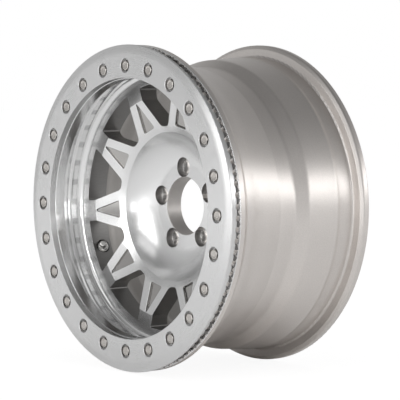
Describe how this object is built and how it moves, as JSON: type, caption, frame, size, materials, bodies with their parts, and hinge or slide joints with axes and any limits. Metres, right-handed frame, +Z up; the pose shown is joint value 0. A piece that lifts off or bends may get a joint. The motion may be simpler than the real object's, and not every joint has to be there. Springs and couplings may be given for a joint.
{
  "type": "beadlock wheel",
  "caption": "Aluminium beadlock wheel: one-piece barrel, spokes and hub, with a bolted clamp ring on the outboard bead and a clamp-in valve.",
  "frame": {"origin": "centre of the centre bore on the hub's mounting face", "axes": "+Y along the axle line, inboard, out of the mounting face; -Y outboard to the clamp ring; +Z up, with one ring bolt at 12 o'clock; +X to the right of a viewer who faces the ring"},
  "size_m": [0.476, 0.2595, 0.476],
  "materials": {
    "machined_aluminium": "machined and polished",
    "ring_aluminium": "brushed",
    "bolt_steel": "zinc plated",
    "insert_steel": "plain",
    "valve_metal": "nickel plated brass",
    "valve_rubber": "matt",
    "core_brass": "plain"
  },
  "bodies": {
    "wheel": {"wheel": "machined_aluminium", "beadlock_ring": "ring_aluminium", "ring_bolts": "bolt_steel", "ring_washers": "bolt_steel", "thread_inserts": "insert_steel", "valve_stem": "valve_metal", "valve_grommet": "valve_rubber", "valve_inner_seal": "valve_rubber", "valve_washer": "valve_metal", "valve_nut": "valve_metal", "valve_core_body": "core_brass", "valve_core_seal": "valve_rubber", "valve_core_spring": "insert_steel"},
    "valve_pin": {"valve_core_pin": "core_brass"},
    "valve_cap": {"valve_cap": "valve_metal", "valve_cap_seal": "valve_rubber"}
  },
  "joints": [
    {"name": "cap_off", "type": "slide", "parent": "wheel", "child": "valve_cap", "axis": [0.7595, -0.5736, 0.3069], "range_m": [0, 0.012]},
    {"name": "pin_press", "type": "slide", "parent": "wheel", "child": "valve_pin", "axis": [-0.7595, 0.5736, -0.3069], "range_m": [0, 0.0012], "stiffness_N_per_m": 400, "springref_m": -0.002, "deforming": ["valve_core_spring"]}
  ]
}
